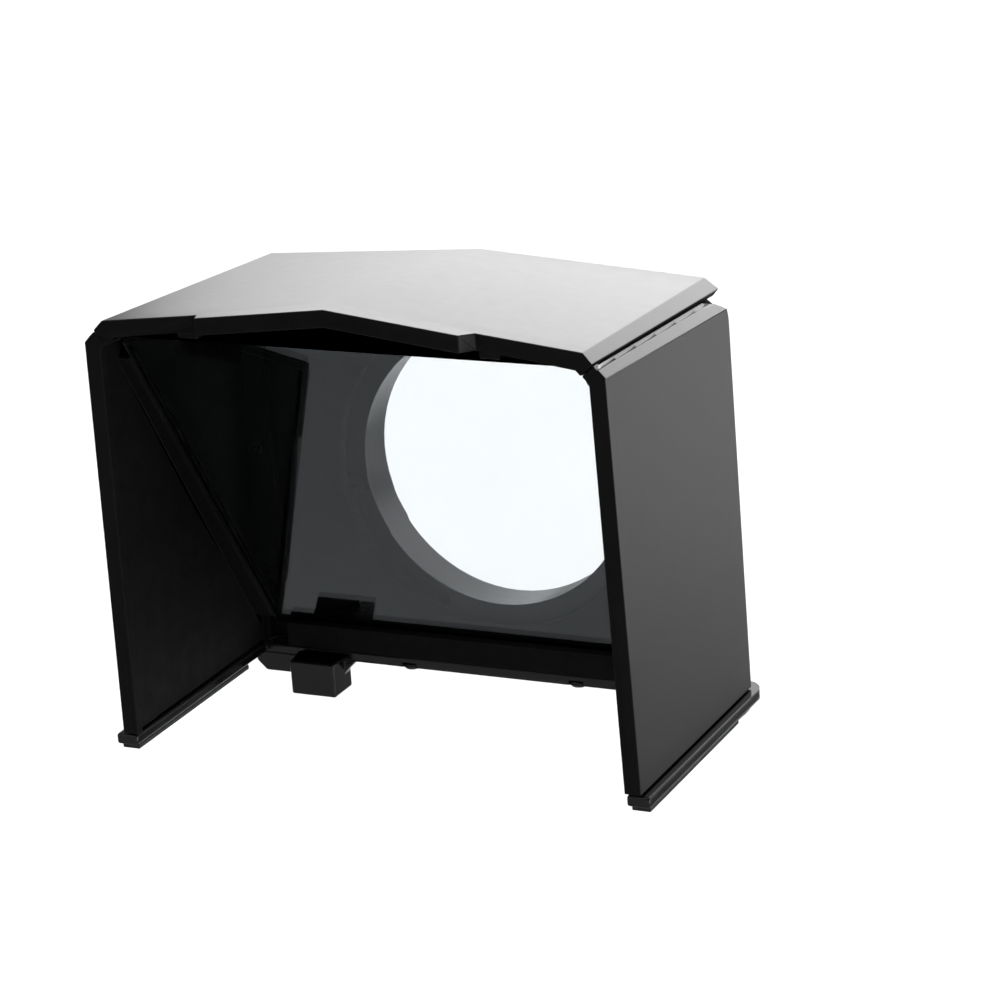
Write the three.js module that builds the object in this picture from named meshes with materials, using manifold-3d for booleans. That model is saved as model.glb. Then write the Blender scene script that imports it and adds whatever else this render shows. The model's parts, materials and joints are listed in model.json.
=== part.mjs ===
// A phone teleprompter hood: an open-fronted black box that hangs on a camera lens.
// A phone lies under it with the screen up, and a slanted beam-splitter glass sends
// the screen's light out through the open front, to the presenter.
//
// Millimetres. +X is the presenter's right, +Y runs from the presenter to the camera, +Z is up.
// Everything is drawn with z = 0 on the phone's screen and x = 0 on the middle plane, then the
// whole group is moved so that its origin is on the lens axis, where the lens's rim meets the ring.

import * as THREE from 'three';
import { mergeVertices } from 'three/addons/utils/BufferGeometryUtils.js';
import Module from 'manifold-3d';

const wasm = await Module();
wasm.setup();

// ---------- driving dimensions ----------

const wall = 2.2;              // thickness of the moulded walls
const gap = 0.3;               // clearance between pieces that touch
const lensAxisZ = 47;          // height of the lens axis over the phone's screen

// The right half of the hood's outer skin at its open front and at its rear, from the side
// wall's foot and shoulder to the roof's eave and ridge, each as [x, z].
const frontOutline = [[59.0, 3.9], [57.3, 90.3], [52.8, 95.1], [0, 101.2]];
const rearOutline = [[59.1, 3.9], [57.47, 87.0], [50.8, 92.0], [0, 95.7]];

const frontFootY = -16.9;      // the open front leans out towards its top
const frontTopY = -19.6;
const panelRearY = 44.0;
const browReach = 4.0;         // the middle of the roof's lip stands this far in front of its corners
const browHalf = 28.9;
const browSlant = 1.7;
const coverRearY = 48.6;
const loftStep = 12;
const lipDepth = 3.6;          // also the width of the frame around the open front
const lipLength = 2.6;
const frameStripLength = 2.0;
const keeper = { x0: 31.0, x1: 35.4, bottom: 92.5 };   // the blocks under the lip

const seamCover = 0.44;        // where the cover's bevel ends, as a share of the corner bevel
const seamCap = 0.49;          // where the frame strip closes the seam at the front
const seamPanel = 0.66;        // where the side panel's bevel starts
const grooveDepth = 1.0;
const tongueReach = 0.14;      // how far the panel's tongue runs under the cover
const tongueDepth = 3.6;
const tongueStartY = -14.5;

const frameBottom = 1.3;       // the base frame stands on gel pads that fill the space below it
const frameTop = 3.6;
const frameHalf = 60.8;
const railInner = 55.8;
const barFrontY = 40.4;
const frameRearY = 48.0;
const frameCorner = 4.5;
const stop = { inner: 36.5, outer: 47.5, frontY: 35.7, bottom: -6.0 };
const skirt = { start: 32.8, end: 58.8, bottom: -3.3, frontY: 41.0, rearY: 44.0 };
const gelPad = { inner: 56.3, outer: 60.3, frontY: -15.5, rearY: 33.0 };

const plateFrontY = panelRearY + gap;
const plateThickness = 2.5;
const plateBackY = plateFrontY + plateThickness;
const portRadius = 35;

const glassAngle = THREE.MathUtils.degToRad(56.1); // from level, top edge leaning to the presenter
const glassThickness = 1.6;
const glassHalf = 54.5;
const glassFoot = { y: 42.15, z: 8.32 };           // lower edge of the face that looks at the phone
const glassInset = 4.0;                            // its upper edge follows the roof, this far under
const glassReach = 112;                            // cut off by the roof's shape
const tapeThickness = 0.6;
const ribThickness = 1.3;
const ribInner = 52.3;
const ribSpan = [4, 93];                           // along the glass, from its lower edge

const hinge = {
  y: plateBackY + 2.9, z: 87.0, radius: 2.5, pin: 1.0, lugs: [[30, 34], [40, 44]], knuckle: [34.4, 39.6],
};

const ringFrontY = plateBackY + 2 * gap + 1.2;
const ring = {
  outer: 40.0, bore: 31, length: 6.6, relief: 0.6,
  thread: 33.4, threadDepth: 0.4, threadPitch: 0.75, turns: 4,
};
const seatY = ringFrontY + ring.length;            // the face that the lens's rim meets
const collar = { inner: 40.3, outer: 43.1, length: 7.4, earRadius: 4.0, earThickness: 2.7, earAt: 46.6 };
const collarFrontY = plateBackY + gap;
const clamp = {
  y: collarFrontY + 5.0, angle: 25, stem: 1.5, tip: 39.5,
  insertOuter: 2.6, insertStart: 42.7, insertEnd: 47.0,
  boss: 4.2, bossEnd: 47.2, knobStart: 47.8, knobEnd: 55.0, knob: 4.3, socket: 4, flute: 0.45, flutes: 18,
};
const screw = { head: 2.2, headHeight: 1.3, shank: 1.0 };

// ---------- materials ----------

const plastic = (color, roughness) => new THREE.MeshStandardMaterial({ color, roughness, metalness: 0 });
const metal = (color, roughness) => new THREE.MeshStandardMaterial({ color, roughness, metalness: 1 });

const looks = {
  shell: () => plastic(0x1b1b1c, 0.42),
  inner: () => plastic(0x0c0c0d, 0.75),
  frame: () => plastic(0x131314, 0.3),
  knob: () => plastic(0x161617, 0.5),
  gel: () => plastic(0x2a2c2e, 0.9),
  felt: () => plastic(0x080808, 1),
  glass: () => Object.assign(plastic(0xdfe8ea, 0.02), { transparent: true, opacity: 0.35 }),
  anodised: () => metal(0x1a1a1c, 0.35),
  steel: () => metal(0xb9bcbf, 0.3),
  blackSteel: () => metal(0x2b2b2d, 0.4),
  brass: () => metal(0xc9a35a, 0.35),
};

// ---------- solids ----------

// The geometry with shared vertices merged and its faces turned to point out.
function closed(geometry) {
  const bare = geometry.clone();
  bare.deleteAttribute('normal');
  bare.deleteAttribute('uv');
  const merged = mergeVertices(bare, 1e-4);
  if (volume(merged) < 0) merged.setIndex([...merged.index.array].reverse());
  return merged;
}

function volume(geometry) {
  const { position } = geometry.attributes;
  const corner = (i) => new THREE.Vector3().fromBufferAttribute(position, i);
  const corners = Array.from(geometry.index.array, corner);
  let sum = 0;
  for (let i = 0; i < corners.length; i += 3) {
    sum += corners[i].dot(corners[i + 1].clone().cross(corners[i + 2])) / 6;
  }
  return sum;
}

function toSolid(geometry) {
  const { attributes, index } = closed(geometry);
  return new wasm.Manifold(new wasm.Mesh({
    numProp: 3,
    vertProperties: new Float32Array(attributes.position.array),
    triVerts: new Uint32Array(index.array),
  }));
}

function toGeometry(solid) {
  const { vertProperties, triVerts } = solid.getMesh();
  const geometry = new THREE.BufferGeometry();
  geometry.setAttribute('position', new THREE.BufferAttribute(new Float32Array(vertProperties), 3));
  geometry.setIndex(new THREE.BufferAttribute(new Uint32Array(triVerts), 1));
  return geometry;
}

function join(first, ...others) {
  return toGeometry(others.reduce((sum, geometry) => sum.add(toSolid(geometry)), toSolid(first)));
}

function cut(body, ...tools) {
  return toGeometry(tools.reduce((rest, geometry) => rest.subtract(toSolid(geometry)), toSolid(body)));
}

function common(first, second) {
  return toGeometry(toSolid(first).intersect(toSolid(second)));
}

function mirrored(geometry) {
  return closed(geometry.clone().scale(-1, 1, 1));
}

function bothSides(geometry) {
  return [geometry, mirrored(geometry)];
}

function box(x0, x1, y0, y1, z0, z1) {
  const geometry = new THREE.BoxGeometry(x1 - x0, y1 - y0, z1 - z0);
  return geometry.translate((x0 + x1) / 2, (y0 + y1) / 2, (z0 + z1) / 2);
}

function rodAlongX(radius, x0, x1, y, z) {
  const rod = new THREE.CylinderGeometry(radius, radius, x1 - x0, 20);
  return rod.rotateZ(Math.PI / 2).translate((x0 + x1) / 2, y, z);
}

function rodAlongY(radius, y0, y1, x, z, segments = 24) {
  return new THREE.CylinderGeometry(radius, radius, y1 - y0, segments).translate(x, (y0 + y1) / 2, z);
}

function rodAlongZ(radius, z0, z1, x, y) {
  const rod = new THREE.CylinderGeometry(radius, radius, z1 - z0, 24);
  return rod.rotateX(Math.PI / 2).translate(x, y, (z0 + z1) / 2);
}

// A body of revolution about Y from [radius, y] points that close on themselves or end on the axis.
function turned(profile, segments = 64) {
  return new THREE.LatheGeometry(profile.map(([radius, y]) => new THREE.Vector2(radius, y)), segments);
}

function turnedRing(profile) {
  return turned([...profile, profile[0]]).translate(0, 0, lensAxisZ);
}

// A piece drawn along Y from the lens axis, swung out to a direction square to that axis.
function radially(geometry, degrees) {
  const turn = THREE.MathUtils.degToRad(degrees);
  return geometry.rotateZ(-Math.PI / 2).rotateY(-turn).translate(0, clamp.y, lensAxisZ);
}

function extruded(outline, depth) {
  const shape = outline instanceof THREE.Shape ? outline : shapeOf(outline);
  return new THREE.ExtrudeGeometry(shape, { depth, bevelEnabled: false, curveSegments: 10 });
}

function shapeOf(outline) {
  return new THREE.Shape(outline.map(([a, b]) => new THREE.Vector2(a, b)));
}

// An outline drawn in X and Z, made solid from y0 to y1.
function slabAlongY(outline, y0, y1) {
  return extruded(outline, y1 - y0).rotateX(Math.PI / 2).translate(0, y1, 0);
}

// An outline drawn in Y and Z, made solid from x0 to x1.
function slabAlongX(outline, x0, x1) {
  const axes = new THREE.Matrix4().set(0, 0, 1, x0, 1, 0, 0, 0, 0, 1, 0, 0, 0, 0, 0, 1);
  return extruded(outline, x1 - x0).applyMatrix4(axes);
}

// A solid between a front and a rear section with the same number of [x, y, z] points. A twisted
// side is made of short steps, so that it stays smooth.
function loft(front, rear) {
  const flat = front.map(([x, , z]) => new THREE.Vector2(x, z));
  if (THREE.ShapeUtils.isClockWise(flat)) return loft([...front].reverse(), [...rear].reverse());
  const steps = Math.ceil((rear[0][1] - front[0][1]) / loftStep);
  const count = front.length;
  const points = [];
  for (let step = 0; step <= steps; step += 1) {
    points.push(...front.map((point, i) => blend(point, rear[i], step / steps)));
  }
  const index = [];
  const last = steps * count;
  for (const [a, b, c] of THREE.ShapeUtils.triangulateShape(flat, [])) {
    index.push(a, b, c, c + last, b + last, a + last);
  }
  for (let start = 0; start < last; start += count) {
    for (let i = 0; i < count; i += 1) {
      const [here, next] = [start + i, start + ((i + 1) % count)];
      index.push(here, here + count, next + count, here, next + count, next);
    }
  }
  const geometry = new THREE.BufferGeometry();
  geometry.setAttribute('position', new THREE.Float32BufferAttribute(points.flat(), 3));
  geometry.setIndex(index);
  return geometry;
}

function blend(from, to, share) {
  return from.map((value, k) => value + (to[k] - value) * share);
}

// ---------- the hood's skin ----------

function outlineAt(y) {
  const share = (y - frontTopY) / (panelRearY - frontTopY);
  return frontOutline.map((point, i) => blend(point, rearOutline[i], share));
}

// The line foot, shoulder, eave, ridge moved inwards by a depth, with mitred corners.
function inset(line, depth) {
  const normals = line.slice(1).map(([x, z], i) => {
    const along = new THREE.Vector2(x - line[i][0], z - line[i][1]).normalize();
    return new THREE.Vector2(-along.y, along.x);
  });
  const moved = line.map(([x, z], i) => {
    const mitre = normals[Math.max(i - 1, 0)].clone().add(normals[Math.min(i, normals.length - 1)]);
    const reach = (2 * depth) / mitre.lengthSq();
    return [x + mitre.x * reach, z + mitre.y * reach];
  });
  const ridgeDrop = depth / Math.abs(normals[2].y);
  return [...moved.slice(0, 3), [0, line[3][1] - ridgeDrop]];
}

// A point on the corner bevel: share 0 at the eave, 1 at the shoulder.
function bevel(line, share, depth) {
  const [, shoulder, eave] = inset(line, depth);
  return blend(eave, shoulder, share);
}

function wallSection(line, seam, outer, inner) {
  const [outside, inside] = [inset(line, outer), inset(line, inner)];
  return [outside[0], outside[1], bevel(line, seam, outer), bevel(line, seam, inner), inside[1], inside[0]];
}

// The bar along the panel's upper edge that forms the floor of the seam.
function seamBarSection(line) {
  const root = seamPanel + 0.06;
  return [
    bevel(line, root, grooveDepth), bevel(line, seamCap, grooveDepth),
    bevel(line, seamCap, tongueDepth), bevel(line, root, tongueDepth),
  ];
}

// The tongue that runs from the bar to under the cover.
function tongueSection(line) {
  const under = wall + gap;
  const [root, tip] = [seamPanel, tongueReach];
  return [
    bevel(line, root, under), bevel(line, tip, under),
    bevel(line, tip, tongueDepth), bevel(line, root, tongueDepth),
  ];
}

function roofSection(line, outer, inner) {
  const [outside, inside] = [inset(line, outer), inset(line, inner)];
  const edge = [bevel(line, seamCover, outer), bevel(line, seamCover, inner)];
  return [outside[3], outside[2], ...edge, inside[2], inside[3]];
}

const standAt = (points, y) => points.map(([x, z]) => [x, y, z]);

// Stands a section on the open front, which leans, a little behind its face.
function standOnFront(points, setBack) {
  const rise = frontOutline[2][1] - frontOutline[0][1];
  return points.map(([x, z]) => {
    const y = frontFootY + ((frontTopY - frontFootY) * (z - frontOutline[0][1])) / rise;
    return [x, y + setBack, z];
  });
}

// ---------- the glass and what holds it ----------

const uphill = [-Math.cos(glassAngle), Math.sin(glassAngle)];   // along the glass, in Y and Z
const behind = [Math.sin(glassAngle), Math.cos(glassAngle)];    // square to it, towards the camera

function onGlass(along, offset) {
  return [
    glassFoot.y + uphill[0] * along + behind[0] * offset,
    glassFoot.z + uphill[1] * along + behind[1] * offset,
  ];
}

// A strip that lies along the glass, from a distance behind its face.
function glassStrip(x0, x1, offset, thickness, start, end) {
  const corners = [[start, offset], [end, offset], [end, offset + thickness], [start, offset + thickness]];
  return slabAlongX(corners.map(([along, away]) => onGlass(along, away)), x0, x1);
}

// The right half of the room that the glass may fill: the skin's own shape, drawn in.
function glassRoom() {
  const section = (y) => {
    const [, shoulder, eave, ridge] = inset(outlineAt(y), glassInset);
    return standAt([[0, 0], [shoulder[0], 0], shoulder, eave, ridge], y);
  };
  return loft(section(frontTopY - 5), section(panelRearY));
}

function beamSplitterGlass() {
  const sheet = glassStrip(0, glassHalf, 0, glassThickness, 0, glassReach);
  const half = common(sheet, glassRoom());
  return join(half, mirrored(half));
}

function glassTape() {
  const [start, end] = ribSpan;
  const offset = glassThickness + gap;
  return glassStrip(ribInner + gap, glassHalf - gap, offset, tapeThickness, start + 1, end - 1);
}

function grooveRibs() {
  const root = 57.05;
  return [
    glassStrip(ribInner, root, -gap - ribThickness, ribThickness, ...ribSpan),
    glassStrip(ribInner, root, glassThickness + tapeThickness + 2 * gap, ribThickness, ...ribSpan),
  ];
}

// The channel along the rear that the lower edge of the glass stands in.
function glassSill() {
  const [frontY, rearY] = [39.6, plateFrontY - gap];
  const floorZ = frameTop + gap;
  const seatAtRear = onGlass(-gap, 2.03);
  const outline = [
    [frontY, floorZ], [rearY, floorZ], [rearY, seatAtRear[1]], onGlass(-gap, -gap),
    onGlass(2.2, -gap), [frontY, onGlass(2.2, -gap - ribThickness)[1]],
  ];
  const half = 49.6;
  const holes = [
    ...bothSides(screwHole(sillScrewAt, 41, rearY + 1)),
    ...bothSides(rodAlongZ(screw.shank + gap, floorZ - 1, 6.9, baseScrewAt.x, baseScrewAt.y)),
  ];
  return cut(slabAlongX(outline, -half, half), ...holes);
}

// ---------- screws ----------

const panelScrewX = 53.4;
const panelScrewHeights = [21, 50, 79];
const sillScrewAt = { x: 44, z: 6.2 };
const baseScrewAt = { x: 20, y: 42.2 };
const collarScrewAngles = [45, 135, 225, 315];

function collarScrewAt(degrees) {
  const turn = THREE.MathUtils.degToRad(degrees);
  return { x: collar.earAt * Math.cos(turn), z: lensAxisZ + collar.earAt * Math.sin(turn) };
}

function screwHole(at, y0, y1) {
  return rodAlongY(screw.shank + gap, y0, y1, at.x, at.z, 16);
}

// A pan-head screw with a cross recess, its head's seat at y = 0 and its shank along -Y.
function panHeadScrew(length) {
  const { head, headHeight, shank } = screw;
  const body = turned([
    [0, -length], [shank * 0.6, -length], [shank, -length + 0.8], [shank, 0],
    [head, 0], [head, headHeight * 0.55], [head * 0.75, headHeight], [0, headHeight],
  ], 16);
  const slot = box(-1.3, 1.3, headHeight - 0.7, headHeight + 1, -0.25, 0.25);
  const cross = box(-0.25, 0.25, headHeight - 0.7, headHeight + 1, -1.3, 1.3);
  return cut(body, slot, cross);
}

// ---------- the parts ----------

function sidePanel() {
  const front = outlineAt(frontTopY);
  const rear = outlineAt(panelRearY);
  const skin = loft(
    standOnFront(wallSection(front, seamPanel, 0, wall), 0),
    standAt(wallSection(rear, seamPanel, 0, wall), panelRearY),
  );
  const tongue = loft(
    standAt(tongueSection(outlineAt(tongueStartY)), tongueStartY),
    standAt(tongueSection(rear), panelRearY),
  );
  const barStartY = frontTopY + 1;
  const seamBar = loft(
    standAt(seamBarSection(outlineAt(barStartY)), barStartY),
    standAt(seamBarSection(rear), panelRearY),
  );
  const strip = wallSection(front, seamCap, 0.15, lipDepth);
  const frameStrip = loft(standOnFront(strip, 0), standOnFront(strip, frameStripLength));
  const rearFlange = box(50, 57.0, panelRearY - 2.5, panelRearY, 16, 84);
  const flangeFoot = box(55.0, 57.0, panelRearY - 2.5, panelRearY, frameTop + gap, 17);
  const through = [panelRearY - 4, panelRearY + 1];
  const holes = panelScrewHeights.map((z) => screwHole({ x: panelScrewX, z }, ...through));
  const whole = join(skin, seamBar, tongue, frameStrip, rearFlange, flangeFoot, ...grooveRibs());
  return cut(whole, cornerOutsideRound(), ...holes);
}

// What rounds off the panel's upper rear corner.
function cornerOutsideRound() {
  const radius = 4.5;
  const top = bevel(rearOutline, seamPanel, 0)[1];
  const square = box(50, 65, panelRearY - radius, panelRearY + 1, top - radius, top + 6);
  return cut(square, rodAlongX(radius, 49, 66, panelRearY - radius, top - radius));
}

function topCover() {
  const [frontY, rearY] = [frontTopY - browReach, coverRearY];
  const lipEndY = frontTopY + lipLength;
  const roof = loft(
    standAt(roofSection(outlineAt(frontY), 0, wall), frontY),
    standAt(roofSection(outlineAt(rearY), 0, wall), rearY),
  );
  const lip = loft(
    standAt(roofSection(outlineAt(frontY), wall / 2, lipDepth), frontY),
    standAt(roofSection(outlineAt(lipEndY), wall / 2, lipDepth), lipEndY),
  );
  const block = box(keeper.x0, keeper.x1, frontTopY + gap, lipEndY, keeper.bottom, 95);
  const knuckle = rodAlongX(hinge.radius, ...hinge.knuckle, hinge.y, hinge.z);
  const arm = box(...hinge.knuckle, hinge.y - hinge.radius, hinge.y, hinge.z, 91.6);
  const bore = rodAlongX(hinge.pin + gap, hinge.knuckle[0] - 1, hinge.knuckle[1] + 1, hinge.y, hinge.z);
  const half = cut(join(roof, lip, block, knuckle, arm), besideBrow(), bore);
  return join(half, mirrored(half));
}

// What is taken off the lip outside the brow.
function besideBrow() {
  const tip = frontTopY - browReach;
  const slant = [[browHalf, tip], [browHalf + browSlant, frontTopY]];
  return extruded([...slant, [70, frontTopY], [70, tip - 5], [browHalf, tip - 5]], 40).translate(0, 0, 75);
}

// A soft pad on the back of each block under the lip, just in front of the upper edge of the glass.
function glassBumper() {
  const frontY = frontTopY + lipLength + gap;
  const [left, right] = [keeper.x0 + 0.4, keeper.x1 - 0.4];
  return box(left, right, frontY, frontY + 1.5, keeper.bottom + 0.3, keeper.bottom + 2.1);
}

function rearPlate() {
  const right = inset(outlineAt(plateBackY), wall + 0.5);
  const left = right.slice(0, 3).map(([x, z]) => [-x, z]).reverse();
  const plate = slabAlongY([...right, ...left], plateFrontY, plateBackY);
  const port = rodAlongY(portRadius, plateFrontY - 1, plateBackY + 1, 0, lensAxisZ, 64);
  const lugs = hinge.lugs.flatMap(([x0, x1]) => [
    box(x0, x1, plateBackY - 1, hinge.y, hinge.z - hinge.radius, hinge.z + hinge.radius),
    rodAlongX(hinge.radius, x0, x1, hinge.y, hinge.z),
  ]);
  const bore = rodAlongX(hinge.pin + gap, hinge.lugs[0][0] - 1, hinge.lugs[1][1] + 1, hinge.y, hinge.z);
  const through = [plateFrontY - 1, plateBackY + 1];
  const holes = [
    ...panelScrewHeights.map((z) => screwHole({ x: panelScrewX, z }, ...through)),
    screwHole(sillScrewAt, ...through),
  ];
  const collarHoles = collarScrewAngles.map((angle) => screwHole(collarScrewAt(angle), ...through));
  const whole = join(plate, ...lugs.flatMap(bothSides));
  return cut(whole, port, ...[bore, ...holes].flatMap(bothSides), ...collarHoles);
}

function baseFrame() {
  const shape = new THREE.Shape();
  shape.moveTo(-frameHalf, frontFootY);
  shape.lineTo(-railInner, frontFootY);
  shape.lineTo(-railInner, barFrontY);
  shape.lineTo(railInner, barFrontY);
  shape.lineTo(railInner, frontFootY);
  shape.lineTo(frameHalf, frontFootY);
  shape.lineTo(frameHalf, frameRearY - frameCorner);
  shape.absarc(frameHalf - frameCorner, frameRearY - frameCorner, frameCorner, 0, Math.PI / 2, false);
  shape.lineTo(-frameHalf + frameCorner, frameRearY);
  shape.absarc(-frameHalf + frameCorner, frameRearY - frameCorner, frameCorner, Math.PI / 2, Math.PI, false);
  shape.closePath();
  const tray = extruded(shape, frameTop - frameBottom).translate(0, 0, frameBottom);
  const root = frameBottom + 0.6;
  const skirtOutline = [
    [skirt.start, root], [stop.inner, -1.8], [stop.inner, stop.bottom], [stop.outer, stop.bottom],
    [stop.outer, skirt.bottom], [skirt.end - 2.3, skirt.bottom], [skirt.end, -1.1], [skirt.end, root],
  ];
  const skirtWall = slabAlongY(skirtOutline, skirt.frontY, skirt.rearY);
  const stopBlock = box(stop.inner, stop.outer, stop.frontY, skirt.frontY + 1, stop.bottom, root);
  const { x, y } = baseScrewAt;
  const hole = rodAlongZ(screw.shank + gap, frameBottom - 1, frameTop + 1, x, y);
  const counterbore = rodAlongZ(screw.head + gap, frameBottom - 1, frameBottom + 1.1, x, y);
  const whole = join(tray, ...[skirtWall, stopBlock].flatMap(bothSides));
  return cut(whole, ...[hole, counterbore].flatMap(bothSides));
}

function gelPadStrip() {
  return box(gelPad.inner, gelPad.outer, gelPad.frontY, gelPad.rearY, 0, frameBottom - gap);
}

function lensCollar() {
  const { inner, outer } = collar;
  const endY = collarFrontY + collar.length;
  const root = inner - 2;
  const sleeve = turnedRing([[root, collarFrontY], [outer, collarFrontY], [outer, endY], [root, endY]]);
  const ears = collarScrewAngles.map((angle) => {
    const { x, z } = collarScrewAt(angle);
    return rodAlongY(collar.earRadius, collarFrontY, collarFrontY + collar.earThickness, x, z);
  });
  const { boss, bossEnd, stem, insertOuter, insertStart } = clamp;
  const bossProfile = [[0, inner + 1], [boss, inner + 1], [boss, bossEnd], [0, bossEnd]];
  const bosses = clampAngles.map((angle) => radially(turned(bossProfile, 32), angle));
  const boreProfile = [
    [0, inner - 2], [stem + 2 * gap, inner - 2], [stem + 2 * gap, insertStart - gap],
    [insertOuter + gap, insertStart - gap], [insertOuter + gap, bossEnd + 2], [0, bossEnd + 2],
  ];
  const bores = clampAngles.map((angle) => radially(turned(boreProfile, 24), angle));
  const socket = rodAlongY(inner, collarFrontY - 1, endY + 2, 0, lensAxisZ, 64);
  const through = [collarFrontY - 1, collarFrontY + 4];
  const holes = collarScrewAngles.map((angle) => screwHole(collarScrewAt(angle), ...through));
  return cut(join(sleeve, ...ears, ...bosses), socket, ...holes, ...bores);
}

const clampAngles = [clamp.angle, 180 - clamp.angle];

function lightSeal() {
  const [front, back] = [plateBackY + gap, ringFrontY - gap];
  return turnedRing([[35.5, front], [39.6, front], [39.6, back], [35.5, back]]);
}

// The ring that screws into the lens: a grooved rim for the clamp screws and a threaded spigot.
function adapterRing() {
  const profile = [
    [ring.bore, ringFrontY], [ring.outer - 0.4, ringFrontY], [ring.outer, ringFrontY + 0.4],
    [ring.outer, clamp.y - 1.2], [ring.outer - 1.2, clamp.y], [ring.outer, clamp.y + 1.2],
    [ring.outer, seatY - 0.4], [ring.outer - 0.4, seatY], [ring.thread + 0.3, seatY],
    [ring.thread + 0.3, seatY - ring.relief], [ring.thread - ring.threadDepth, seatY - ring.relief],
  ];
  for (let turn = 0; turn < ring.turns; turn += 1) {
    const start = seatY + 0.3 + turn * ring.threadPitch;
    profile.push([ring.thread - ring.threadDepth, start], [ring.thread, start + ring.threadPitch / 2]);
  }
  const end = seatY + 0.3 + ring.turns * ring.threadPitch;
  profile.push([ring.thread - ring.threadDepth, end], [ring.bore + 0.5, end], [ring.bore, end - 0.5]);
  return turnedRing(profile);
}

function clampInsert() {
  const [inner, outer] = [clamp.stem + gap, clamp.insertOuter];
  const { insertStart: start, insertEnd: end } = clamp;
  return turned([[inner, start], [outer, start], [outer, end], [inner, end], [inner, start]], 24);
}

function clampStem() {
  const { tip, stem } = clamp;
  const end = clamp.knobStart + clamp.socket;
  return turned([[0, tip], [0.5, tip], [stem, tip + 1.2], [stem, end], [0, end]], 24);
}

function clampKnob() {
  const shape = new THREE.Shape();
  const steps = clamp.flutes * 2;
  for (let i = 0; i < steps; i += 1) {
    const angle = (i / steps) * 2 * Math.PI;
    const radius = clamp.knob - clamp.flute * (0.5 - 0.5 * Math.cos(clamp.flutes * angle));
    shape[i ? 'lineTo' : 'moveTo'](radius * Math.cos(angle), radius * Math.sin(angle));
  }
  shape.closePath();
  const { knobStart: start, knobEnd } = clamp;
  const head = extruded(shape, knobEnd - start).rotateX(-Math.PI / 2).translate(0, start, 0);
  const [socketRadius, socketEnd] = [clamp.stem + gap, start + clamp.socket + gap];
  const profile = [[0, start - 1], [socketRadius, start - 1], [socketRadius, socketEnd], [0, socketEnd]];
  return cut(head, turned(profile, 24));
}

function hingePin() {
  return rodAlongX(hinge.pin, hinge.lugs[0][0] - 0.3, hinge.lugs[1][1] + 0.3, hinge.y, hinge.z);
}

// ---------- assembly ----------

const group = new THREE.Group();
group.position.set(0, -seatY, -lensAxisZ);

function add(name, geometry, look) {
  const mesh = new THREE.Mesh(toGeometry(toSolid(geometry)), look());
  mesh.name = name;
  group.add(mesh);
  return mesh;
}

// A right-hand piece and its mirror image.
function addPair(name, geometry, look) {
  add(`${name}_right`, geometry, look);
  add(`${name}_left`, mirrored(geometry), look);
}

add('adapter_ring', adapterRing(), looks.anodised);
add('base_frame', baseFrame(), looks.frame);
add('rear_plate', rearPlate(), looks.inner);
addPair('side_panel', sidePanel(), looks.shell);
add('top_cover', topCover(), looks.shell);
addPair('glass_bumper', glassBumper(), looks.gel);
addPair('cover_hinge_pin', hingePin(), looks.steel);
add('beam_splitter_glass', beamSplitterGlass(), looks.glass);
add('glass_sill', glassSill(), looks.inner);
addPair('glass_tape', glassTape(), looks.felt);
addPair('gel_pad', gelPadStrip(), looks.gel);
add('lens_collar', lensCollar(), looks.frame);
add('light_seal', lightSeal(), looks.felt);

['right', 'left'].forEach((side, i) => {
  const angle = clampAngles[i];
  add(`clamp_insert_${side}`, radially(clampInsert(), angle), looks.brass);
  add(`clamp_stem_${side}`, radially(clampStem(), angle), looks.steel);
  add(`clamp_knob_${side}`, radially(clampKnob(), angle), looks.knob);
});

collarScrewAngles.forEach((angle, i) => {
  const { x, z } = collarScrewAt(angle);
  const seat = collarFrontY + collar.earThickness + gap;
  const body = add(`collar_screw_${i + 1}`, panHeadScrew(4.6), looks.blackSteel);
  body.position.set(x, seat, z);
});

panelScrewHeights.forEach((z, i) => {
  [['right', panelScrewX], ['left', -panelScrewX]].forEach(([side, x]) => {
    const body = add(`panel_screw_${side}_${i + 1}`, panHeadScrew(5.0), looks.blackSteel);
    body.position.set(x, plateBackY + gap, z);
  });
});

[['right', 1], ['left', -1]].forEach(([side, sign]) => {
  const sillScrew = add(`sill_screw_${side}`, panHeadScrew(5.4), looks.blackSteel);
  sillScrew.position.set(sign * sillScrewAt.x, plateBackY + gap, sillScrewAt.z);
  const baseScrew = add(`base_screw_${side}`, panHeadScrew(4.2), looks.blackSteel);
  baseScrew.rotation.x = -Math.PI / 2;
  baseScrew.position.set(sign * baseScrewAt.x, baseScrewAt.y, frameBottom + 1.1 - gap);
});

export default group;
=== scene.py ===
"""The looks of a phone teleprompter hood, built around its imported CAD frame.

Metres, in the frame's own axes: the origin is on the lens axis at the adapter ring's seat, +Y runs to the
camera that carries the hood, +Z is up, and the presenter's side is -Y.
"""

import json
import math

import bmesh
import bpy
from mathutils import Matrix, Vector


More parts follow.
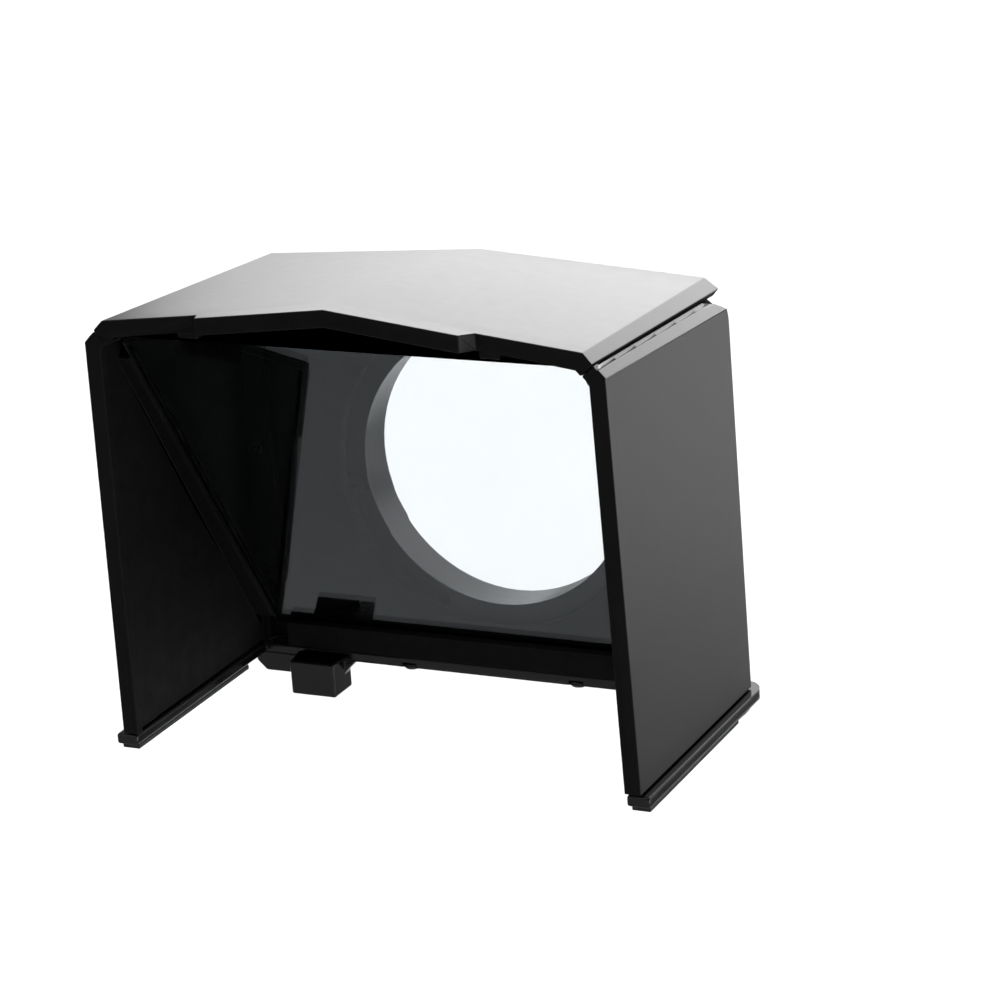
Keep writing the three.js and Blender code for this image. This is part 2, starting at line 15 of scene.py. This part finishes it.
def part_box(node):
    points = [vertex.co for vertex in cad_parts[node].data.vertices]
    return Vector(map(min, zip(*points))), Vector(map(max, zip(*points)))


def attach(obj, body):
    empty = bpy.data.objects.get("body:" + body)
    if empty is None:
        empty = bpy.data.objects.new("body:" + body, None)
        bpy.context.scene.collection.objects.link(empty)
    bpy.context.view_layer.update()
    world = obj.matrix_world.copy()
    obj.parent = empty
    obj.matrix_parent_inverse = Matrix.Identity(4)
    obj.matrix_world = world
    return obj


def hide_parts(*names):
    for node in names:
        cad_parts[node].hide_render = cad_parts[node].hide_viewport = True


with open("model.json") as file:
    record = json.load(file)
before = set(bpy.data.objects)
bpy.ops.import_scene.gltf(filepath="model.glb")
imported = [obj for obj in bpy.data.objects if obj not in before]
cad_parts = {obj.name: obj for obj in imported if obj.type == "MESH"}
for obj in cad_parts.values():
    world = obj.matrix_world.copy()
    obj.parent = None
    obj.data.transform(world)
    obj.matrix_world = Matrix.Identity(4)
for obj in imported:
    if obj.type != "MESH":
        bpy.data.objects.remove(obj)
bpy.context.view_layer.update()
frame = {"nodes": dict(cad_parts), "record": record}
record = frame["record"]

# ---------- camera, stage and lights ----------

CAMERA_PLACE = Vector((0.3184, -0.6638, 0.2327))
CAMERA_AZIMUTH = 25.80  # degrees to the presenter's right of the lens axis
CAMERA_ELEVATION = 18.23
CAMERA_ROLL = -3.66
FOCAL_SHARE = 3.5532  # focal length over sensor width
SENSOR_MM = 36.0

FLOOR_DROP = 0.6  # the hood hangs on a lens, well above the floor
FLOOR_HALF = 12.0


def add_camera():
    azimuth = math.radians(CAMERA_AZIMUTH)
    elevation = math.radians(CAMERA_ELEVATION)
    roll = math.radians(CAMERA_ROLL)
    level = math.cos(elevation)
    forward = Vector((-math.sin(azimuth) * level, math.cos(azimuth) * level, -math.sin(elevation)))
    level_right = forward.cross(Vector((0, 0, 1))).normalized()
    level_up = level_right.cross(forward)
    right = level_right * math.cos(roll) + level_up * math.sin(roll)
    up = level_up * math.cos(roll) - level_right * math.sin(roll)
    turn = Matrix((right, up, -forward)).transposed().to_4x4()
    data = bpy.data.cameras.new("camera")
    data.sensor_width = SENSOR_MM
    data.lens = FOCAL_SHARE * SENSOR_MM
    data.clip_start = 0.01
    data.clip_end = 50
    camera = bpy.data.objects.new("camera", data)
    camera.matrix_world = Matrix.Translation(CAMERA_PLACE) @ turn
    bpy.context.scene.collection.objects.link(camera)
    bpy.context.scene.camera = camera


def add_softbox(name, place, target, size, radiance, spread=180):
    """A rectangular lamp whose face has the given radiance."""
    data = bpy.data.lights.new(name, "AREA")
    data.shape = "RECTANGLE"
    data.size, data.size_y = size
    data.energy = radiance * math.pi * size[0] * size[1]
    data.spread = math.radians(spread)
    lamp = bpy.data.objects.new(name, data)
    lamp.location = place
    lamp.rotation_euler = (Vector(target) - Vector(place)).to_track_quat("-Z", "Y").to_euler()
    lamp.visible_camera = False
    bpy.context.scene.collection.objects.link(lamp)


def add_stage():
    mesh = bmesh.new()
    bmesh.ops.create_grid(mesh, x_segments=2, y_segments=2, size=FLOOR_HALF)
    data = bpy.data.meshes.new("floor")
    mesh.to_mesh(data)
    mesh.free()
    floor = bpy.data.objects.new("floor", data)
    floor.location.z = -FLOOR_DROP
    data.materials.append(floor_paper())
    bpy.context.scene.collection.objects.link(floor)


def add_world():
    world = bpy.data.worlds.new("studio")
    world.use_nodes = True
    background = world.node_tree.nodes["Background"]
    background.inputs["Color"].default_value = (0.93, 0.96, 1.0, 1)
    background.inputs["Strength"].default_value = 0.06
    bpy.context.scene.world = world
    bpy.context.scene.view_settings.view_transform = "Standard"


# ---------- materials ----------

NOISE_LOW, NOISE_HIGH = 0.3, 0.7  # nearly all of a noise texture's values lie between these


class Surface:
    """A Principled material and short ways to drive it from procedural noise."""

    def __init__(self, name, colour, roughness, metallic=0.0, specular=0.5):
        self.material = bpy.data.materials.new(name)
        self.material.use_nodes = True
        self.tree = self.material.node_tree
        self.shader = self.tree.nodes["Principled BSDF"]
        self.colour = (*colour, 1)
        self.set("Base Color", self.colour)
        self.set("Roughness", roughness)
        self.set("Metallic", metallic)
        self.set("Specular IOR Level", specular)
        self.place = self.node("ShaderNodeTexCoord").outputs["Object"]

    def set(self, socket, value):
        self.shader.inputs[socket].default_value = value

    def node(self, kind, **settings):
        made = self.tree.nodes.new(kind)
        for key, value in settings.items():
            setattr(made, key, value)
        return made

    def link(self, source, target):
        self.tree.links.new(source, target)

    def noise(self, size, detail=2.0, stretch=(1, 1, 1)):
        """Noise with features about size metres across, longer along an axis where stretch is under 1."""
        mapping = self.node("ShaderNodeMapping")
        mapping.inputs["Scale"].default_value = stretch
        noise = self.node("ShaderNodeTexNoise")
        noise.inputs["Scale"].default_value = 1 / size
        noise.inputs["Detail"].default_value = detail
        self.link(self.place, mapping.inputs["Vector"])
        self.link(mapping.outputs["Vector"], noise.inputs["Vector"])
        return noise.outputs["Fac"]

    def ranged(self, source, low, high):
        """The noise stretched to run from low to high."""
        spread = self.node("ShaderNodeMapRange")
        spread.inputs["From Min"].default_value = NOISE_LOW
        spread.inputs["From Max"].default_value = NOISE_HIGH
        spread.inputs["To Min"].default_value = low
        spread.inputs["To Max"].default_value = high
        self.link(source, spread.inputs["Value"])
        return spread.outputs["Result"]

    def vary_roughness(self, source, low, high):
        self.link(self.ranged(source, low, high), self.shader.inputs["Roughness"])

    def vary_colour(self, source, other, rub_and_highlight=None):
        """Runs the colour towards another with the noise, and towards a lighter one on the rounded edges:
        part rubbed wear, part painted edge highlight.
        """
        mix = self.node("ShaderNodeMix", data_type="RGBA")
        mix.inputs["A"].default_value = self.colour
        mix.inputs["B"].default_value = (*other, 1)
        self.link(self.ranged(source, 0, 1), mix.inputs["Factor"])
        result = mix.outputs["Result"]
        # The rounded edges' lighter colour is partly rubbed wear, partly a painted edge highlight.
        if rub_and_highlight:
            edge = self.node("ShaderNodeAttribute", attribute_name="edge")
            rub_highlight_mix = self.node("ShaderNodeMix", data_type="RGBA")
            rub_highlight_mix.inputs["B"].default_value = (*rub_and_highlight, 1)
            self.link(result, rub_highlight_mix.inputs["A"])
            self.link(edge.outputs["Fac"], rub_highlight_mix.inputs["Factor"])
            result = rub_highlight_mix.outputs["Result"]
        self.link(result, self.shader.inputs["Base Color"])

    def bump(self, source, height, strength):
        """Raises the surface with the noise, by up to height metres."""
        bump = self.node("ShaderNodeBump")
        bump.inputs["Distance"].default_value = height
        bump.inputs["Strength"].default_value = strength
        self.link(source, bump.inputs["Height"])
        self.link(bump.outputs["Normal"], self.shader.inputs["Normal"])


def floor_paper():
    surface = Surface("floor_paper", (0.86, 0.86, 0.86), 0.7, specular=0.2)
    surface.vary_colour(surface.noise(0.4), (0.84, 0.84, 0.84))
    return surface.material


# The edge colour given to vary_colour below lightens each material's rounded edges: partly rubbed wear,
# partly a painted edge highlight.
def satin_shell():
    """Black ABS with the fine spark-eroded grain of the outer mould."""
    surface = Surface("satin_shell", (0.008, 0.008, 0.0078), 0.3)
    surface.vary_colour(surface.noise(0.03, 3), (0.01, 0.01, 0.0096), rub_and_highlight=(0.022, 0.022, 0.021))
    surface.vary_roughness(surface.noise(0.003, 3), 0.295, 0.31)
    surface.bump(surface.noise(0.0004, 2), 0.00002, 0.25)
    return surface.material


def shaded_front_edge():
    """The smooth black edge around the open front, a darker copy of the shell's black for the faces
    looking forward: painted shade.
    """
    surface = Surface("shaded_front_edge", (0.002, 0.002, 0.0018), 0.34, specular=0.12)
    surface.vary_colour(surface.noise(0.01, 3), (0.0045, 0.0045, 0.004), rub_and_highlight=(0.012, 0.012, 0.0115))
    surface.vary_roughness(surface.noise(0.006, 3), 0.3, 0.4)
    surface.bump(surface.noise(0.0006, 2), 0.00002, 0.2)
    return surface.material


def matt_lining():
    """Black plastic with a coarse light-killing texture."""
    surface = Surface("matt_lining", (0.006, 0.0062, 0.0062), 0.85, specular=0.2)
    surface.vary_colour(surface.noise(0.008, 3), (0.0076, 0.0078, 0.0078), rub_and_highlight=(0.012, 0.012, 0.012))
    surface.vary_roughness(surface.noise(0.004, 3), 0.78, 0.92)
    surface.bump(surface.noise(0.0005, 3), 0.00008, 0.5)
    return surface.material


def gloss_frame():
    surface = Surface("gloss_frame", (0.003, 0.003, 0.003), 0.16, specular=0.3)
    surface.vary_colour(surface.noise(0.02, 3), (0.004, 0.004, 0.0038), rub_and_highlight=(0.02, 0.02, 0.02))
    surface.vary_roughness(surface.noise(0.008, 4), 0.14, 0.2)
    surface.bump(surface.noise(0.0015, 2), 0.000004, 0.1)
    return surface.material


def satin_collar():
    surface = Surface("satin_collar", (0.008, 0.008, 0.008), 0.4)
    surface.vary_colour(surface.noise(0.015, 3), (0.011, 0.011, 0.011), rub_and_highlight=(0.025, 0.025, 0.025))
    surface.vary_roughness(surface.noise(0.006, 3), 0.36, 0.46)
    surface.bump(surface.noise(0.0004, 2), 0.00003, 0.35)
    return surface.material


def knob_plastic():
    surface = Surface("knob_plastic", (0.01, 0.01, 0.01), 0.45)
    surface.vary_colour(surface.noise(0.002, 3), (0.014, 0.014, 0.013), rub_and_highlight=(0.04, 0.04, 0.038))
    surface.vary_roughness(surface.noise(0.001, 3), 0.4, 0.55)
    surface.bump(surface.noise(0.0003, 2), 0.00003, 0.4)
    return surface.material


def anodised():
    """Turned aluminium, black anodised: fine rings around the lens axis."""
    surface = Surface("anodised", (0.02, 0.02, 0.022), 0.34, metallic=0.85)
    surface.vary_colour(surface.noise(0.01, 3), (0.026, 0.026, 0.029), rub_and_highlight=(0.12, 0.12, 0.125))
    surface.vary_roughness(surface.noise(0.0006, 2, (0.05, 3, 0.05)), 0.26, 0.4)
    surface.bump(surface.noise(0.0003, 1, (0.02, 4, 0.02)), 0.00001, 0.3)
    return surface.material


def gel():
    surface = Surface("gel", (0.03, 0.032, 0.035), 0.62, specular=0.35)
    surface.set("Subsurface Weight", 0.1)
    surface.set("Subsurface Radius", (0.001, 0.001, 0.001))
    surface.vary_colour(surface.noise(0.004, 3), (0.045, 0.047, 0.05))
    surface.vary_roughness(surface.noise(0.002, 3), 0.5, 0.75)
    surface.bump(surface.noise(0.0008, 3), 0.00005, 0.4)
    return surface.material


def felt():
    surface = Surface("felt", (0.0025, 0.0025, 0.0026), 1.0, specular=0.05)
    surface.set("Sheen Weight", 0.2)
    surface.set("Sheen Roughness", 0.5)
    surface.vary_colour(surface.noise(0.0006, 4), (0.006, 0.006, 0.006))
    surface.bump(surface.noise(0.0002, 4), 0.00015, 0.8)
    return surface.material


def steel():
    surface = Surface("steel", (0.5, 0.51, 0.52), 0.28, metallic=1.0)
    surface.vary_colour(surface.noise(0.003, 3), (0.42, 0.43, 0.44), rub_and_highlight=(0.62, 0.63, 0.64))
    surface.vary_roughness(surface.noise(0.0004, 3, (0.2, 2, 0.2)), 0.2, 0.36)
    surface.bump(surface.noise(0.0002, 2, (0.2, 3, 0.2)), 0.000006, 0.4)
    return surface.material


def black_steel():
    surface = Surface("black_steel", (0.02, 0.02, 0.021), 0.36, metallic=0.9)
    surface.vary_colour(surface.noise(0.001, 3), (0.03, 0.03, 0.031), rub_and_highlight=(0.16, 0.16, 0.16))
    surface.vary_roughness(surface.noise(0.0005, 3), 0.28, 0.45)
    surface.bump(surface.noise(0.0003, 2), 0.00001, 0.4)
    return surface.material


def brass():
    surface = Surface("brass", (0.62, 0.42, 0.14), 0.3, metallic=1.0)
    surface.vary_colour(surface.noise(0.001, 3), (0.5, 0.33, 0.1), rub_and_highlight=(0.75, 0.55, 0.25))
    surface.vary_roughness(surface.noise(0.0005, 3), 0.24, 0.4)
    surface.bump(surface.noise(0.0003, 2), 0.00001, 0.4)
    return surface.material


def coated_glass():
    """The face towards the phone, with the partly reflecting coat."""
    surface = Surface("coated_glass", (0.9, 0.96, 1.0), 0.0)
    surface.set("IOR", 1.5)
    surface.set("Transmission Weight", 1.0)
    surface.set("Specular Tint", (0.7, 0.88, 1.0, 1))
    surface.set("Coat Weight", 0.5)
    surface.set("Coat IOR", 1.4)
    surface.set("Coat Roughness", 0.0)
    surface.vary_roughness(surface.noise(0.03, 2), 0.0, 0.004)
    return surface.material


def clear_glass():
    surface = Surface("clear_glass", (0.96, 0.985, 0.98), 0.0)
    surface.set("IOR", 1.5)
    surface.set("Transmission Weight", 1.0)
    surface.vary_roughness(surface.noise(0.03, 2), 0.0, 0.004)
    return surface.material


def ground_glass_edge():
    """The seamed edge of the glass, blackened so that it throws no light into the hood."""
    surface = Surface("ground_glass_edge", (0.012, 0.02, 0.018), 0.45)
    surface.vary_colour(surface.noise(0.002, 3), (0.02, 0.032, 0.028))
    surface.vary_roughness(surface.noise(0.001, 3), 0.35, 0.6)
    surface.bump(surface.noise(0.0004, 3), 0.00002, 0.5)
    return surface.material


# ---------- pieces ----------

LONG = 0.0012  # an edge from here up gets its full round
BEVEL_ANGLE = math.radians(28)  # edges sharper than this are rounded
SMOOTH_ANGLE = math.radians(40)  # edges sharper than this stay crisp in the shading
FLAT_ANGLE = math.radians(0.1)  # faces that meet at less than this are made one
WELD = 2e-6
STRIP_DEPTH = 0.0052  # from the panel's foremost point to behind its front strip
SHELL_ROUND = 0.00022
SCREW_ROUND = 0.00008

BODY = {node: body for body, nodes in record["behaviour"]["bodies"].items() for node in nodes}
SIDES = {"right": 1, "left": -1}


def rounded_copy(node, edge, segments=2, shortest=0.0):
    """The node's solid as a new mesh, with its flat faces made whole and its longer edges rounded.

    Where shortest is set, edges under that length stay sharp and the others get their full round.
    """
    work = bmesh.new()
    work.from_mesh(frame["nodes"][node].data)
    # The bevel's faces are marked for the lighter edge colour: partly rubbed wear, partly a painted edge
    # highlight.
    rub_and_highlight = work.faces.layers.float.new("edge")  # made first, since a new layer drops older face handles
    bmesh.ops.remove_doubles(work, verts=work.verts, dist=WELD)
    bmesh.ops.dissolve_limit(work, angle_limit=FLAT_ANGLE, verts=work.verts, edges=work.edges)
    sharp = [
        e for e in work.edges
        if e.is_manifold and e.calc_face_angle(0) > BEVEL_ANGLE and e.calc_length() >= shortest
    ]
    made = bmesh.ops.bevel(
        work, geom=sharp, offset=edge, offset_type="OFFSET", segments=segments, profile=0.5,
        affect="EDGES", clamp_overlap=shortest == 0, face_strength_mode="ALL",
    )
    for face in made["faces"]:
        if face.is_valid:
            face[rub_and_highlight] = 1.0
    data = bpy.data.meshes.new(f"{node}_skin")
    work.to_mesh(data)
    work.free()
    return data


def add_piece(node, data, materials, choose=None):
    """Shows the mesh in place of the CAD node.

    choose gives the number of a face's material by the face's centre and normal.
    """
    piece = bpy.data.objects.new(f"{node}_skin", data)
    for material in materials:
        data.materials.append(material)
    for face in data.polygons:
        face.use_smooth = True
        face.material_index = choose(face.center, face.normal) if choose else 0
    data.set_sharp_from_angle(angle=SMOOTH_ANGLE)
    normals = piece.modifiers.new("even_normals", "WEIGHTED_NORMAL")
    normals.keep_sharp = True
    normals.use_face_influence = True
    bpy.context.scene.collection.objects.link(piece)
    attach(piece, BODY[node])
    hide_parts(node)


def panel_face(side):
    """Outer skin, front edge in painted shade, or lining, for a side panel on the side +1 or -1."""
    strip_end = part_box("side_panel_right")[0].y + STRIP_DEPTH

    def choose(centre, normal):
        # Forward faces of the front strip take the darker black: painted shade.
        if normal.y < -0.7 and centre.y < strip_end:
            return 1
        return 0 if normal.x * side > 0.2 or normal.z > 0.35 or normal.y > 0.7 else 2

    return choose


def cover_face(centre, normal):
    """Outer skin, front edge in painted shade, or lining, for the top cover."""
    # Forward faces take the darker black: painted shade.
    if normal.y < -0.4:
        return 1
    return 2 if normal.z < -0.4 else 0


def glass_face(sheet):
    """Coated front, clear back or ground edge, by the direction square to the sheet."""
    biggest = max(sheet.polygons, key=lambda face: face.area)
    square = biggest.normal.copy()
    if square.y > 0:
        square.negate()

    def choose(centre, normal):
        if abs(normal.dot(square)) < 0.98:
            return 2
        return 0 if normal.dot(square) > 0 else 1

    return choose


def make_pieces():
    # edge is the darker black of the forward faces: painted shade.
    shell, edge, lining = satin_shell(), shaded_front_edge(), matt_lining()
    for side, sign in SIDES.items():
        node = f"side_panel_{side}"
        panel = rounded_copy(node, SHELL_ROUND, 2, LONG)
        add_piece(node, panel, [shell, edge, lining], panel_face(sign))
    cover = rounded_copy("top_cover", SHELL_ROUND, 2, LONG)
    add_piece("top_cover", cover, [shell, edge, lining], cover_face)
    add_piece("base_frame", rounded_copy("base_frame", 0.0005, 3, LONG), [gloss_frame()])
    add_piece("rear_plate", rounded_copy("rear_plate", 0.00025, 2, LONG), [lining])
    add_piece("glass_sill", rounded_copy("glass_sill", 0.0002, 2, LONG), [lining])
    add_piece("lens_collar", rounded_copy("lens_collar", 0.0003, 2, LONG), [satin_collar()])
    add_piece("adapter_ring", rounded_copy("adapter_ring", 0.00008), [anodised()])
    add_piece("light_seal", rounded_copy("light_seal", 0.0001), [felt()])
    glass = [coated_glass(), clear_glass(), ground_glass_edge()]
    sheet = rounded_copy("beam_splitter_glass", 0.0002, 1)
    add_piece("beam_splitter_glass", sheet, glass, glass_face(sheet))
    small = {
        "glass_bumper": (0.0003, gel()),
        "gel_pad": (0.00015, gel()),
        "glass_tape": (0.0001, felt()),
        "cover_hinge_pin": (0.0002, steel()),
        "clamp_insert": (0.0001, brass()),
        "clamp_stem": (0.0001, steel()),
        "clamp_knob": (0.0001, knob_plastic()),
    }
    for name, (round_edge, material) in small.items():
        for side in SIDES:
            node = f"{name}_{side}"
            add_piece(node, rounded_copy(node, round_edge), [material])
    screw = black_steel()
    for node in sorted(n for n in frame["nodes"] if "_screw" in n):
        add_piece(node, rounded_copy(node, SCREW_ROUND), [screw])


add_camera()
add_world()
add_stage()
add_softbox("back_light", (0.0, 1.5, 0.46), (0, 0, 0.46), (2.1, 0.96), 1.3, 80)
add_softbox("floor_behind", (-1.3, 2.65, -0.1), (-1.3, 2.65, -1), (3.2, 4.2), 1.3, 70)
add_softbox("floor_to_the_right", (1.4, 3.1, 0.2), (1.4, 3.1, -1), (1.9, 3.2), 1.3, 70)
add_softbox("floor_in_front", (0.6, -2.7, 0.6), (0.6, -2.7, -1), (4.4, 3.6), 0.6, 70)
add_softbox("floor_far_in_front", (0.0, -6.6, 1.6), (0.0, -6.6, -1), (11.0, 4.6), 0.55, 90)
add_softbox("front_fill", (-0.9, -1.2, 1.0), (0, 0, 0), (0.8, 0.8), 1.5)
add_softbox("right_edge", (1.4, 0.1, -0.3), (0, 0.0, 0.25), (1.7, 0.5), 1.4, 90)
add_softbox("top_edge", (-0.3, -0.1, 1.2), (0, 0, 0), (0.8, 0.5), 2.5)
make_pieces()

bpy.context.view_layer.update()
